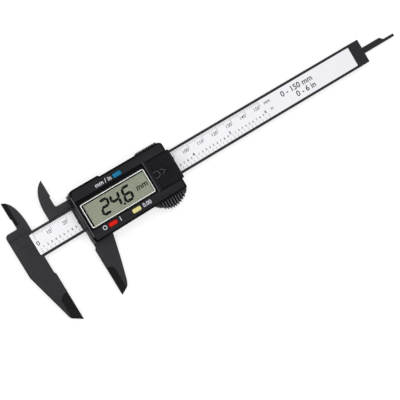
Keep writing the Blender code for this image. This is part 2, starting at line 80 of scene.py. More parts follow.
FRAME_TOP = 6.3
WEB_BACK = 5.6
CHANNEL_HALF = 7.71
THUMB_INNER = -15.9
THUMB_LEFT, THUMB_LENGTH = 43.7, 16.0
THUMB_EDGE, THUMB_BULGE = -18.7, 3.2
THUMB_FIRST, THUMB_PITCH, THUMB_RIBS = 45.1, 1.65, 9
FINGER_FIRST, FINGER_PITCH, FINGER_RIBS = 47.2, 1.68, 8
HOUSING_BACK, HOUSING_FRONT = 6.6, 14.6
BUTTON_TOP = 15.0
FIELD = 13.7
CEILING = 12.9
BATTERY_CEILING = 12.0
ROOM = (2.1, 59.7, -14.2, 13.0)
DISPLAY_ROOM_RIGHT = 44.6
SLOT_BACK, SLOT_FRONT = 12.6, 13.8

DISPLAY = (24.1, -1.2)
BEZEL = (40.6, 14.6)
BEZEL_RIM = 0.6
BEZEL_INSIDE = (BEZEL[0] - 2 * BEZEL_RIM, BEZEL[1] - 2 * BEZEL_RIM)
GLASS_BACK, GLASS_FRONT = 11.2, 12.6
FIELD_BOX = (2.4, 45.2, -9.5, 8.8)
COVER_BOX = (46.4, 61.7, -9.9, 8.3)
TONGUE = 0.8
BUTTON_SIZE = (5.3, 2.45)
BUTTONS = {"unit": (30.2, 10.5), "power": (14.6, -11.4), "zero": (29.6, -11.7)}
BATTERY = (53.6, -0.8)
PLATE_SCREWS = [(12.0, 11.4), (12.0, -11.4), (48.0, 11.4), (48.0, -11.4)]
GUIDE_SCREWS = [(222.0, 5.2), (222.0, -5.2)]
BACK_PLATE_LEFT, BACK_PLATE_FRONT = 1.5, 1.4

PRINT = 0.02                   # thickness of a printed mark
INCH = 25.4

beam_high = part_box("main_beam")[1]
label_low, label_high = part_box("scale_label")
plate_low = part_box("back_plate")[0]
MIDDLE_Y = (label_low.y + label_high.y) / 2
BEAM = Vector((beam_high.x - BEAM_END * MM, MIDDLE_Y, 0.0))
SLIDER = Vector((plate_low.x - BACK_PLATE_LEFT * MM, MIDDLE_Y, 0.0))


# ======== materials


class Nodes:
    """A material's node tree, with short calls for the nodes that the paints below share."""

    def __init__(self, name):
        self.material = bpy.data.materials.new(name)
        self.material.use_nodes = True
        self.tree = self.material.node_tree
        self.shader = self.tree.nodes["Principled BSDF"]
        coordinates = self.tree.nodes.new("ShaderNodeTexCoord")
        self.place = coordinates.outputs["Object"]

    def link(self, output, socket):
        self.tree.links.new(output, socket)

    def noise(self, scale, detail=2.0, roughness=0.5, stretch=None):
        texture = self.tree.nodes.new("ShaderNodeTexNoise")
        texture.inputs["Scale"].default_value = scale
        texture.inputs["Detail"].default_value = detail
        texture.inputs["Roughness"].default_value = roughness
        if stretch is None:
            self.link(self.place, texture.inputs["Vector"])
        else:
            mapping = self.tree.nodes.new("ShaderNodeMapping")
            mapping.inputs["Scale"].default_value = stretch
            self.link(self.place, mapping.inputs["Vector"])
            self.link(mapping.outputs["Vector"], texture.inputs["Vector"])
        return texture.outputs["Fac"]

    def flecks(self, scale):
        texture = self.tree.nodes.new("ShaderNodeTexVoronoi")
        texture.inputs["Scale"].default_value = scale
        self.link(self.place, texture.inputs["Vector"])
        return texture.outputs["Distance"]

    def ramp(self, factor, stops):
        ramp = self.tree.nodes.new("ShaderNodeValToRGB")
        elements = ramp.color_ramp.elements
        while len(elements) < len(stops):
            elements.new(0.5)
        for element, (position, colour) in zip(elements, stops):
            element.position = position
            element.color = (*colour, 1.0)
        self.link(factor, ramp.inputs["Fac"])
        return ramp.outputs["Color"]

    def remap(self, factor, low, high, start=0.0, end=1.0):
        node = self.tree.nodes.new("ShaderNodeMapRange")
        node.inputs["From Min"].default_value = start
        node.inputs["From Max"].default_value = end
        node.inputs["To Min"].default_value = low
        node.inputs["To Max"].default_value = high
        self.link(factor, node.inputs["Value"])
        return node.outputs["Result"]

    def mix(self, factor, first, second, mode="MIX"):
        node = self.tree.nodes.new("ShaderNodeMix")
        node.data_type = "RGBA"
        node.blend_type = mode
        for value, socket in ((factor, node.inputs[0]), (first, node.inputs[6]), (second, node.inputs[7])):
            if isinstance(value, bpy.types.NodeSocket):
                self.link(value, socket)
            elif isinstance(value, float):
                socket.default_value = value
            else:
                socket.default_value = (*value, 1.0)
        return node.outputs[2]

    def edges(self, low=0.52, high=0.62):
        geometry = self.tree.nodes.new("ShaderNodeNewGeometry")
        return self.remap(geometry.outputs["Pointiness"], 0.0, 1.0, low, high)

    def bump(self, height, distance, strength=1.0, under=None):
        node = self.tree.nodes.new("ShaderNodeBump")
        node.inputs["Strength"].default_value = strength
        node.inputs["Distance"].default_value = distance
        self.link(height, node.inputs["Height"])
        if under is not None:
            self.link(under, node.inputs["Normal"])
        return node.outputs["Normal"]

    def finish(self, colour=None, roughness=None, normal=None, **fixed):
        if colour is not None:
            self.link(colour, self.shader.inputs["Base Color"])
        if roughness is not None:
            self.link(roughness, self.shader.inputs["Roughness"])
        if normal is not None:
            self.link(normal, self.shader.inputs["Normal"])
        for name, value in fixed.items():
            self.shader.inputs[name.replace("_", " ")].default_value = value
        return self.material


def shade(colour, factor):
    return tuple(min(1.0, channel * factor) for channel in colour)


def moulded(name, colour, roughness, grain=5200.0, depth=0.00002, wear_and_sheen=1.7, specular=0.45):
    """Textured moulded plastic: a fine spark-eroded grain, faint flow marks, and convex edges painted
    lighter, partly as abrasion and partly as painted highlight.
    """
    nodes = Nodes(name)
    flow = nodes.noise(150.0, 5.0, 0.6, (1.0, 2.2, 1.0))
    tone = nodes.ramp(flow, [(0.3, shade(colour, 0.84)), (0.7, shade(colour, 1.16))])
    speck = nodes.remap(nodes.flecks(2600.0), 0.0, 1.0, 0.0, 0.55)
    tone = nodes.mix(speck, shade(colour, 1.35), tone)
    # convex edges take a lighter colour, partly abrasion and partly painted highlight
    if wear_and_sheen > 1.0:
        tone = nodes.mix(nodes.edges(), tone, shade(colour, wear_and_sheen))
    fine = nodes.noise(grain, 3.0, 0.6)
    rough = nodes.remap(nodes.noise(900.0, 3.0), roughness - 0.07, roughness + 0.07, 0.3, 0.7)
    return nodes.finish(tone, rough, nodes.bump(fine, depth), Specular_IOR_Level=specular)


def enamel(name, colour, roughness, specular=0.1):
    """Printing ink, with a slightly uneven film."""
    nodes = Nodes(name)
    tone = nodes.ramp(nodes.noise(1400.0, 3.0), [(0.3, shade(colour, 0.9)), (0.7, shade(colour, 1.08))])
    normal = nodes.bump(nodes.noise(6000.0, 2.0), 0.000006)
    rough = nodes.remap(nodes.noise(2200.0, 2.0), roughness - 0.05, roughness + 0.05, 0.3, 0.7)
    return nodes.finish(tone, rough, normal, Specular_IOR_Level=specular)


def metal(name, colour, roughness, direction=(1.0, 14.0, 14.0), depth=0.000004):
    """Drawn or turned metal with fine lines one way and a little tarnish."""
    nodes = Nodes(name)
    lines = nodes.noise(1500.0, 4.0, 0.6, direction)
    stain = nodes.noise(240.0, 4.0, 0.6)
    tone = nodes.ramp(stain, [(0.32, shade(colour, 0.86)), (0.68, shade(colour, 1.06))])
    rough = nodes.remap(lines, roughness - 0.07, roughness + 0.12, 0.3, 0.7)
    return nodes.finish(tone, rough, nodes.bump(lines, depth), Metallic=1.0)


def film(name, colour):
    """The printed scale's white film: satin, with the faintest unevenness."""
    nodes = Nodes(name)
    tone = nodes.ramp(nodes.noise(60.0, 4.0), [(0.3, shade(colour, 0.972)), (0.7, colour)])
    rough = nodes.remap(nodes.noise(700.0, 3.0), 0.34, 0.46, 0.3, 0.7)
    normal = nodes.bump(nodes.noise(3800.0, 3.0), 0.000004)
    return nodes.finish(tone, rough, normal, Specular_IOR_Level=0.35)


def liquid_crystal(name, colour):
    """Grey-green display glass, a touch uneven, with the reflector's fine sparkle behind it."""
    nodes = Nodes(name)
    cloud = nodes.ramp(nodes.noise(90.0, 4.0), [(0.3, shade(colour, 0.94)), (0.7, shade(colour, 1.05))])
    sparkle = nodes.remap(nodes.noise(2600.0, 2.0), 0.0, 0.06, 0.4, 0.8)
    tone = nodes.mix(sparkle, cloud, shade(colour, 1.25))
    rough = nodes.remap(nodes.noise(3000.0, 2.0), 0.3, 0.42, 0.3, 0.7)
    return nodes.finish(tone, rough, nodes.bump(nodes.noise(5000.0, 2.0), 0.000003))


def clear(name):
    """Thin polished acrylic, with hairline scratches in its gloss."""
    nodes = Nodes(name)
    scratches = nodes.noise(260.0, 6.0, 0.75, (1.0, 9.0, 1.0))
    rough = nodes.remap(scratches, 0.06, 0.14, 0.4, 0.7)
    tone = nodes.ramp(nodes.noise(50.0), [(0.0, (0.02, 0.022, 0.021)), (1.0, (0.03, 0.033, 0.032))])
    made = nodes.finish(tone, rough, nodes.bump(scratches, 0.000001), Alpha=0.06, IOR=1.49)
    made.blend_method = "BLEND"
    return made


def board_green(name, colour):
    """Solder mask over copper tracks."""
    nodes = Nodes(name)
    tracks = nodes.tree.nodes.new("ShaderNodeTexBrick")
    tracks.inputs["Scale"].default_value = 420.0
    tracks.inputs["Color1"].default_value = (*colour, 1.0)
    tracks.inputs["Color2"].default_value = (*shade(colour, 1.3), 1.0)
    tracks.inputs["Mortar"].default_value = (*shade(colour, 2.2), 1.0)
    tracks.inputs["Mortar Size"].default_value = 0.06
    nodes.link(nodes.place, tracks.inputs["Vector"])
    rough = nodes.remap(nodes.noise(900.0), 0.3, 0.5, 0.3, 0.7)
    return nodes.finish(tracks.outputs["Color"], rough, nodes.bump(nodes.noise(2500.0, 3.0), 0.00001))


PAINT = {
    "composite": moulded("charcoal_composite", (0.0175, 0.0170, 0.0205), 0.5, specular=0.17),
    "plate": moulded("back_moulding", (0.021, 0.0205, 0.024), 0.5, wear_and_sheen=1.0, specular=0.17),
    # painted highlight: a lighter paint for the thumb grip's rib crests and the left bead
    "raised_highlight": moulded("painted_highlight_moulding", (0.085, 0.084, 0.092), 0.42, wear_and_sheen=1.3, specular=0.25),
    # painted highlight: a lighter paint for the right bead and the cover's raised arch and arrow
    "relief_highlight": moulded("painted_highlight_relief", (0.045, 0.044, 0.050), 0.44, wear_and_sheen=1.3, specular=0.15),
    # painted shade: a near-black paint for rounded rims, rib valleys and notches
    "painted_shade": moulded("painted_shade_moulding", (0.0022, 0.0021, 0.0028), 0.3, grain=1800.0, depth=0.000004,
                        wear_and_sheen=1.2, specular=0.04),
    # painted shade: a darker paint for the thinned tips of the jaws
    "tip_bevel_shade": moulded("painted_shade_tip_bevel", (0.006, 0.006, 0.007), 0.45, grain=2600.0, depth=0.00001,
                      wear_and_sheen=1.3, specular=0.08),
    "housing": moulded("black_housing", (0.0085, 0.0083, 0.0105), 0.46, specular=0.10),
    # painted shade: a near-black paint for the sunken ring round the display, the walls of openings and the
    # bezel's shadow on the glass
    "field": moulded("painted_shade_recess", (0.0016, 0.0015, 0.0024), 0.34, grain=7000.0, depth=0.000006,
                     wear_and_sheen=1.2, specular=0.03),
    # the cover's strong edge lightening paints highlights on its rib crests
    "cover": moulded("black_cover", (0.0068, 0.0064, 0.0088), 0.48, wear_and_sheen=2.6, specular=0.08),
    "label": film("white_film", (0.91, 0.91, 0.955)),
    "ink": enamel("scale_ink", (0.05, 0.05, 0.06), 0.5),
    "legend": enamel("legend_ink", (0.62, 0.62, 0.68), 0.5),
    "board": board_green("solder_mask", (0.012, 0.11, 0.04)),
    "silver": metal("bright_bezel", (0.60, 0.60, 0.585), 0.34),
    "steel": metal("bright_steel", (0.60, 0.60, 0.61), 0.3),
    "brass": metal("spring_brass", (0.74, 0.50, 0.22), 0.32),
    "window": clear("clear_window"),
    "lcd": liquid_crystal("display_glass", (0.276, 0.314, 0.213)),
    "segment": enamel("display_segment", (0.002, 0.0025, 0.002), 0.35, specular=0.0),
    "faint": enamel("display_unit", (0.008, 0.010, 0.006), 0.4, specular=0.0),
    "holder": moulded("pale_holder", (0.55, 0.55, 0.53), 0.5, wear_and_sheen=1.1),
    "rubber": moulded("conductive_rubber", (0.03, 0.03, 0.03), 0.8),
    "silicone": moulded("grey_silicone", (0.42, 0.42, 0.40), 0.65, wear_and_sheen=1.1),
    "epoxy": moulded("black_epoxy", (0.008, 0.008, 0.009), 0.28, grain=1500.0),
    "blue": moulded("blue_cap", (0.008, 0.155, 0.29), 0.42, wear_and_sheen=1.4, specular=0.08),
    "red": moulded("red_cap", (0.60, 0.008, 0.005), 0.42, wear_and_sheen=1.3, specular=0.08),
    "yellow": moulded("yellow_cap", (0.68, 0.63, 0.26), 0.42, wear_and_sheen=1.1, specular=0.08),
}


# ======== outlines


def arc(centre, radius, start, end, count=8):
    """Points on a round corner, from one angle in degrees to another."""
    points = []
    for step in range(count + 1):
        angle = math.radians(start + (end - start) * step / count)
        points.append((centre[0] + radius * math.cos(angle), centre[1] + radius * math.sin(angle)))
    return points


def curve(start, control_a, control_b, end, count=20):
    """Points on a cubic Bezier curve."""
    points = []
    for step in range(count + 1):
        t = step / count
        weights = ((1 - t) ** 3, 3 * t * (1 - t) ** 2, 3 * t * t * (1 - t), t ** 3)
        ends = (start, control_a, control_b, end)
        points.append(tuple(sum(w * p[axis] for w, p in zip(weights, ends)) for axis in (0, 1)))
    return points


def rectangle(x0, x1, y0, y1, radius=0.0, count=6):
    """A rectangle's outline, counter-clockwise, with round corners if asked."""
    if radius == 0.0:
        return [(x0, y0), (x1, y0), (x1, y1), (x0, y1)]
    points = arc((x0 + radius, y0 + radius), radius, 180, 270, count)
    points += arc((x1 - radius, y0 + radius), radius, 270, 360, count)
    points += arc((x1 - radius, y1 - radius), radius, 0, 90, count)
    points += arc((x0 + radius, y1 - radius), radius, 90, 180, count)
    return points


def centred(centre, size, radius=0.0, count=6):
    half_x = size[0] / 2
    half_y = size[1] / 2
    return rectangle(centre[0] - half_x, centre[0] + half_x, centre[1] - half_y, centre[1] + half_y,
                     radius, count)


# ======== meshes


def skin(mesh, rings):
    """Close a row of equal rings into one solid."""
    count = len(rings[0])
    for low, high in zip(rings, rings[1:]):
        for index in range(count):
            after = (index + 1) % count
            mesh.faces.new((low[index], low[after], high[after], high[index]))
    mesh.faces.new(list(reversed(rings[0])))
    mesh.faces.new(rings[-1])


def new_object(name, mesh, paint=None, origin=(0.0, 0.0, 0.0)):
    """Turn a bmesh in millimetres about an origin into an object in metres."""
    bmesh.ops.recalc_face_normals(mesh, faces=mesh.faces)
    place = Matrix.Translation(Vector(origin)) @ Matrix.Scale(MM, 4)
    bmesh.ops.transform(mesh, matrix=place, verts=mesh.verts)
    data = bpy.data.meshes.new(name)
    mesh.to_mesh(data)
    mesh.free()
    if paint is not None:
        data.materials.append(PAINT[paint])
    made = bpy.data.objects.new(name, data)
    bpy.context.scene.collection.objects.link(made)
    return made


def weigh(mesh, rings, front, back, side):
    """Mark how much the edge bevel rounds the front rim, the back rim and the upright corners."""
    layers = mesh.edges.layers.float
    layer = layers.get("bevel_weight_edge") or layers.new("bevel_weight_edge")
    first, last = set(rings[0]), set(rings[-1])
    for edge in mesh.edges:
        ends = set(edge.verts)
        if ends <= last:
            edge[layer] = front
        elif ends <= first:
            edge[layer] = back
        elif len(edge.link_faces) == 2 and edge.calc_face_angle(0.0) > math.radians(28):
            edge[layer] = side


def stack(name, layers, paint=None, origin=(0.0, 0.0, 0.0), rims=(0.0, 0.0, 0.0)):
    """A solid through outlines with equal numbers of points, each at its level.

    A level may be a function of x and y.  The rims are the bevel weights of the front rim, the
    back rim and the upright corners.
    """
    mesh = bmesh.new()
    rings = []
    for outline, level in layers:
        height = level if callable(level) else lambda x, y, flat=level: flat
        rings.append([mesh.verts.new((x, y, height(x, y))) for x, y in outline])
    skin(mesh, rings)
    if max(rims) > 0.0:
        weigh(mesh, rings, *rims)
    return new_object(name, mesh, paint, origin)


def prism(name, outline, z0, z1, paint=None, origin=(0.0, 0.0, 0.0), rims=(0.0, 0.0, 0.0)):
    """An outline raised from z0 to z1."""
    return stack(name, [(outline, z0), (outline, z1)], paint, origin, rims)


def cutter(name, outline, z0, z1, paint=None):
    """A prism on the slider, to be cut away from a piece there."""
    return prism(name, outline, z0, z1, paint, SLIDER)


def turned(name, profile, paint=None, origin=(0.0, 0.0, 0.0), sides=40):
    """A solid of revolution about an upright axis, from (radius, height) pairs."""
    mesh = bmesh.new()
    rings = []
    for radius, height in profile:
        rings.append([mesh.verts.new((radius * math.cos(2 * math.pi * side / sides),
                                      radius * math.sin(2 * math.pi * side / sides), height))
                      for side in range(sides)])
    skin(mesh, rings)
    return new_object(name, mesh, paint, origin)


def round_rims(target, width, segments=4, paint=None):
    """Round the edges that carry a bevel weight, in a paint of their own if one is given."""
    step = target.modifiers.new("Rims", "BEVEL")
    step.limit_method = "WEIGHT"
    step.width = width * MM
    step.segments = segments
    if paint is not None:
        target.data.materials.append(PAINT[paint])
        step.material = len(target.data.materials) - 1


def spare_rim(target, weight, x_limit, y_limit=-99.0):
    """Give the long rim edges left of x_limit and above y_limit, in metres, their own weight."""
    mesh = bmesh.new()
    mesh.from_mesh(target.data)
    layer = mesh.edges.layers.float["bevel_weight_edge"]
    for edge in mesh.edges:
        left = max(vert.co.x for vert in edge.verts) < x_limit
        above = min(vert.co.y for vert in edge.verts) > y_limit
        if left and above and edge[layer] == 1.0 and edge.calc_length() > 5.0 * MM:
            edge[layer] = weight
    mesh.to_mesh(target.data)
    mesh.free()


def ease(target, width=0.1, segments=2, angle=32):
    """Take the sharpness off the edges that turn by more than an angle."""
    step = target.modifiers.new("Ease", "BEVEL")
    step.limit_method = "ANGLE"
    step.angle_limit = math.radians(angle)
    step.width = width * MM
    step.segments = segments


def boolean(target, tool, operation):
    """Cut or join exactly; a painted tool leaves its paint on the faces that it makes."""
    step = target.modifiers.new(operation.title(), "BOOLEAN")
    step.operation = operation
    step.solver = "EXACT"
    step.object = tool
    if tool.data.materials:
        step.material_mode = "TRANSFER"
    tool.hide_render = True


def cut(target, *tools):
    for tool in tools:
        boolean(target, tool, "DIFFERENCE")


def join(target, *tools):
    for tool in tools:
        boolean(target, tool, "UNION")


def evaluated_mesh(target):
    """A copy of an object's mesh with its modifiers applied."""
    bpy.context.view_layer.update()
    graph = bpy.context.evaluated_depsgraph_get()
    return bpy.data.meshes.new_from_object(target.evaluated_get(graph))


def settle(target):
    """Apply the modifiers, shade smooth up to 50 degrees, weigh the normals and drop the tools."""
    tools = [m.object for m in target.modifiers if m.type == "BOOLEAN"]
    data = evaluated_mesh(target)
    data.shade_smooth()
    data.set_sharp_from_angle(angle=math.radians(50))
    target.modifiers.clear()
    target.data = data
    step = target.modifiers.new("Normals", "WEIGHTED_NORMAL")
    step.keep_sharp = True
    data = evaluated_mesh(target)
    target.modifiers.clear()
    target.data = data
    for tool in tools:
        nested = [m.object for m in tool.modifiers if m.type == "BOOLEAN"]
        for extra in nested + [tool]:
            bpy.data.objects.remove(extra, do_unlink=True)
    return target


def mount(piece, body, slot, *nodes):
    """Apply a piece's modifiers, make it ride, and let it stand for its CAD nodes, if any."""
    settle(piece)
    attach(piece, body)
    if nodes:
        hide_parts(*nodes)
    return piece


def mark_mesh(mesh, outline, z0, z1):
    """Add one thin printed shape to a mesh that holds many."""
    rings = [[mesh.verts.new((x, y, z)) for x, y in outline] for z in (z0, z1)]
    skin(mesh, rings)


# ======== the beam


def knife_tools(name, origin, x_edge, x_root, y_top):
    """Two wedges that thin an outside jaw's tip towards its measuring face, and paint the faces that they
    cut darker as painted shade.
    """
    reach = x_root - x_edge
    side = 1 if reach > 0 else -1
    radius = abs(reach) * 0.75
    outside = x_edge - side
    outline = [(outside, JAW_TIP - 1), (x_root, JAW_TIP - 1)]
    for angle in range(0, 91, 9):
        turn = math.radians(angle)
        outline.append((x_root + side * radius * (math.cos(turn) - 1),
                        y_top - radius + radius * math.sin(turn)))
    outline.append((outside, y_top))

    def depth(x):
        return KNIFE_DEPTH * (1 - (x - x_edge) / reach)

    return (prism(name + "_front", outline, lambda x, y: BEAM_FRONT - depth(x), BEAM_FRONT + 1,
                  "tip_bevel_shade", origin),
            prism(name + "_back", outline, BEAM_BACK - 1, lambda x, y: BEAM_BACK + depth(x),
                  "tip_bevel_shade", origin))


def beam_outline():
    """The beam and the fixed outside jaw, from the front."""
    outline = [(BEAM_END, BEAM_HALF), (SHOULDER_RIGHT, BEAM_HALF), (JAW_LEFT, BEAM_HALF)]
    outline += curve((JAW_LEFT, -12.6), (JAW_LEFT, -14.0), (-13.1, -14.4), (-12.6, -16.4), 6)
    outline += [(-6.4, -42.1)] + curve((-6.3, -42.5), (-6.1, -43.5), (-5.8, -44.1), (-4.8, -44.7), 5)
    outline += [(0.0, JAW_TIP), (0.0, -19.0), (-0.7, -17.8), (-0.7, -BEAM_HALF)]
    return outline + [(BEAM_END, -BEAM_HALF)]


def cut_beam_spaces(beam):
    """Sink the scale's recess in the front and the depth rod's groove in the back."""
    recess = rectangle(LABEL_LEFT - 0.25, LABEL_RIGHT + 0.25, -LABEL_HALF - 0.25, LABEL_HALF + 0.25)
    groove = rectangle(GROOVE_LEFT, BEAM_END + 1, -ROD_HALF - 0.3, ROD_HALF + 0.3)
    cut(beam, prism("label_recess", recess, RECESS_FLOOR, BEAM_FRONT + 1, None, BEAM),
        prism("rod_groove", groove, BEAM_BACK - 1, ROD_FRONT + 0.3, None, BEAM))


def fixed_shoulder():
    """The rise above the beam, in the back half of the thickness, that carries the inside jaw."""
    outline = [(SHOULDER_RIGHT, 6.0), (SHOULDER_RIGHT, SHOULDER_TOP)]
    outline += arc((JAW_LEFT + 2.2, SHOULDER_TOP - 2.2), 2.2, 90, 180)
    outline += [(JAW_LEFT, 6.0)]
    return prism("fixed_shoulder", outline, BEAM_BACK, HALF_LAP_BACK, "composite", BEAM)


def fixed_inside_jaw():
    root = SHOULDER_TOP - 1.0
    outline = [(-6.3, root), (-6.3, SHOULDER_TOP)]
    outline += arc((-6.3, SHOULDER_TOP + 0.8), 0.8, 270, 360)
    outline += [(-5.5, 18.3), (INSIDE_FACE, 18.9)]
    outline += curve((INSIDE_FACE, 28.7), (-1.3, 27.3), (0.75, 20.3), (SHOULDER_RIGHT, SHOULDER_TOP))
    outline += [(SHOULDER_RIGHT, root)]
    return prism("fixed_inside_jaw", outline, BEAM_BACK, FIXED_INSIDE_FRONT, "composite", BEAM)


def fixed_inside_bevel():
    """A tool that thins the fixed inside jaw towards its measuring edge, and paints the face that it cuts
    darker as painted shade.
    """
    right = -3.5
    outline = rectangle(INSIDE_FACE - 1, right, 14.2, 29.0)
    return prism("fixed_inside_bevel", outline,
                 lambda x, y: FIXED_INSIDE_FRONT - INSIDE_SLOPE * (right - x), HALF_LAP_BACK + 1,
                 "tip_bevel_shade", BEAM)


def build_beam():
    beam = prism("beam_and_fixed_jaw", beam_outline(), BEAM_BACK, BEAM_FRONT, "composite", BEAM,
                 (1.0, 1.0, 0.5))
    spare_rim(beam, 0.0, BEAM.x + 1.0 * MM, BEAM.y + (BEAM_HALF - 0.1) * MM)
    # the beam's and fixed jaw's rounded rims take a near-black painted shade
    round_rims(beam, JAW_RIM, 3, "painted_shade")
    cut_beam_spaces(beam)
    join(beam, fixed_shoulder(), fixed_inside_jaw())
    cut(beam, fixed_inside_bevel())
    cut(beam, *knife_tools("fixed_jaw_bevel", BEAM, 0.0, -5.3, -30.5))
    mount(beam, "beam", "composite", "main_beam")


def build_rod_guide():
    plate = prism("tail_guide_plate", rectangle(218.4, BEAM_END, -BEAM_HALF, BEAM_HALF, 0.8), 0.6, 1.5,
                  "composite", BEAM, (0.6, 1.0, 0.0))
    round_rims(plate, 0.2, 3)
    sink = [(1.9, 0.4), (1.9, 0.65), (1.1, 1.45), (1.1, 2)]
    profile = [(1.2, 0.6), (1.42, 0.64), (1.5, 0.74), (0.75, 1.45), (0.7, 4.0), (0.4, 4.1)]
    for index, (x, y) in enumerate(GUIDE_SCREWS):
        centre = BEAM + Vector((x, y, 0.0)) * MM
        screw = sunk_screw(plate, f"tail_screw_{index + 1}", centre, sink, profile, (0.5, 0.55, 0.9))
        mount(screw, "beam", "steel", f"guide_plate_screw_{index + 1}")
    mount(plate, "beam", "composite", "rod_guide_plate")


def cross_recess(screw, centre, bottom, depth, reach):
    """Sink a cross slot into a screw head that faces down."""
    for index, (half_x, half_y) in enumerate(((reach, 0.2), (0.2, reach))):
        slot = rectangle(-half_x, half_x, -half_y, half_y)
        cut(screw, prism(f"{screw.name}_slot_{index}", slot, bottom - 0.6, bottom + depth, None, centre))


def sunk_screw(plate, name, centre, sink, profile, slot):
    """Countersink a plate and make the cross-head screw that sits in it, head down."""
    cut(plate, turned(name + "_sink", sink, None, centre))
    screw = turned(name, profile, "steel", centre)
    cross_recess(screw, centre, *slot)
    return screw


# ======== the printed scale


def text_into(mesh, words, size, x, y, z, align="RIGHT", shear=0.0, bold=0.0):
    """Add a line of figures, as thin solid shapes, to a mesh in millimetres."""
    data = bpy.data.curves.new("figures", "FONT")
    data.body = words
    data.size = size
    data.align_x = align
    data.align_y = "CENTER"
    data.shear = shear
    data.extrude = PRINT / 2
    data.offset = bold
    data.resolution_u = 3
    holder = bpy.data.objects.new("figures", data)
    bpy.context.scene.collection.objects.link(holder)
    bpy.context.view_layer.update()
    graph = bpy.context.evaluated_depsgraph_get()
    shape = bpy.data.meshes.new_from_object(holder.evaluated_get(graph))
    shape.transform(Matrix.Translation(Vector((x, y, z + PRINT / 2))))
    mesh.from_mesh(shape)
    bpy.data.objects.remove(holder, do_unlink=True)
    bpy.data.meshes.remove(shape)


def printed(name, mesh, paint, origin, body):
    """Turn a mesh of printed marks into a piece on the beam's label or the slider's housing."""
    made = new_object(name, mesh, paint, origin)
    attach(made, body)
    return made


def build_film():
    outline = rectangle(LABEL_LEFT, LABEL_RIGHT, -LABEL_HALF, LABEL_HALF, 0.3, 3)
    film_sheet = prism("scale_film", outline, LABEL_BACK, LABEL_FRONT, "label", BEAM, (1.0, 0.0, 0.0))
    round_rims(film_sheet, 0.05, 2)
    mount(film_sheet, "beam", "label", "scale_label")


def tick(mesh, x, half, y0, y1):
    mark_mesh(mesh, rectangle(x - half, x + half, y0, y1), LABEL_FRONT, LABEL_FRONT + PRINT)


def build_ticks():
    """Millimetre marks along the upper edge, tenths of an inch along the lower one."""
    ticks = bmesh.new()
    for millimetre in range(151):
        length = 3.7 if millimetre % 10 == 0 else 2.2 if millimetre % 5 == 0 else 1.5
        half = 0.10 if millimetre % 10 == 0 else 0.08
        tick(ticks, millimetre, half, LABEL_HALF - length, LABEL_HALF - 0.15)
    for tenth in range(61):
        length = 3.4 if tenth % 10 == 0 else 1.9
        tick(ticks, tenth * INCH / 10, 0.08, 0.15 - LABEL_HALF, length - LABEL_HALF)
    printed("scale_marks", ticks, "ink", BEAM, "beam")


def build_figures():
    z = LABEL_FRONT
    figures = bmesh.new()
    for ten in range(1, 16):
        text_into(figures, str(ten * 10), 2.9, ten * 10 - 0.5, 2.4, z, bold=0.02)
    text_into(figures, "0", 3.6, 0.0, -0.1, z, "CENTER", bold=0.04)
    text_into(figures, "mm", 2.9, 157.5, 3.2, z, bold=0.03)
    for tenth in range(1, 61):
        x = tenth * INCH / 10
        if tenth % 10 == 0:
            text_into(figures, str(tenth // 10), 2.7, x - 0.4, -1.7, z, bold=0.06)
        else:
            text_into(figures, str(tenth % 10), 1.7, x - 0.25, -2.9, z, bold=0.05)
    text_into(figures, "in", 2.5, 157.0, -1.7, z, bold=0.04)
    text_into(figures, "0 - 150 mm", 4.9, 165.0, 2.2, z, "LEFT", bold=0.08)
    text_into(figures, "0 - 6 in", 4.9, 174.0, -2.3, z, "LEFT", bold=0.08)
    printed("scale_figures", figures, "ink", BEAM, "beam")


# ======== the slider's frame


def grip_section(outer, inner, side, levels, dip, tilt):
    """A grip's cross-section; dip is how far this place lies below a rib's crest."""
    back, low, high, tuck = levels
    return [(inner - side * 1.3, back), (outer - side * (tilt + 0.25), back),
            (outer - side * tilt, back + 0.25), (outer, low - 0.7 - 0.5 * dip),
            (outer - side * 0.35, low - 0.5 * dip), (inner, high - 0.8 * dip), (inner, tuck),
            (inner - side * 1.3, tuck)]


def paint_crests(mesh, first, pitch, floor):
    """Keep the first paint on the fronts of the ribs, above floor, and the second elsewhere."""
    for face in mesh.faces:
        centre = face.calc_center_median()
        rib = (centre.x - first) / pitch
        if len(face.verts) == 4:
            on_crest = abs(rib - round(rib)) < 0.26 and centre.z > floor
            face.material_index = 0 if on_crest else 1


def grip(name, outer_edge, first, pitch, count, inner, levels, depth, paint, tilt=0.0, steps=8):
    """A grip whose rounded ribs run over its front; its side leans in by tilt towards the back."""
    side = 1 if outer_edge(first) > inner else -1
    mesh = bmesh.new()
    rings = []
    for step in range(count * steps + 1):
        x = first + pitch * (step / steps - 0.5)
        dip = depth * (0.5 + 0.5 * math.cos(2 * math.pi * step / steps)) ** 1.4
        section = grip_section(outer_edge(x) - side * dip, inner, side, levels, dip, tilt)
        rings.append([mesh.verts.new((x, y, z)) for y, z in section])
    skin(mesh, rings)
    paint_crests(mesh, first, pitch, levels[1] - 0.8)
    made = new_object(name, mesh, paint, SLIDER)
    # the rib valleys take a near-black painted shade; the crests keep the grip's own paint
    made.data.materials.append(PAINT["painted_shade"])
    return made


def crescent(x):
    """The thumb grip's outer edge."""
    t = min(max((x - THUMB_LEFT) / THUMB_LENGTH, 0.0), 1.0)
    return THUMB_EDGE - THUMB_BULGE * math.sin(math.pi * t ** 0.86) ** 0.9


def frame_moulding():
    outline = [(0.7, -15.0), (60.4, -15.0), (60.4, 14.0), (1.1, 14.0)]
    base = prism("slider_frame_moulding", outline, BEAM_BACK, FRAME_TOP, "composite", SLIDER,
                 (0.5, 1.0, 1.0))
    round_rims(base, 0.3, 3)
    return base


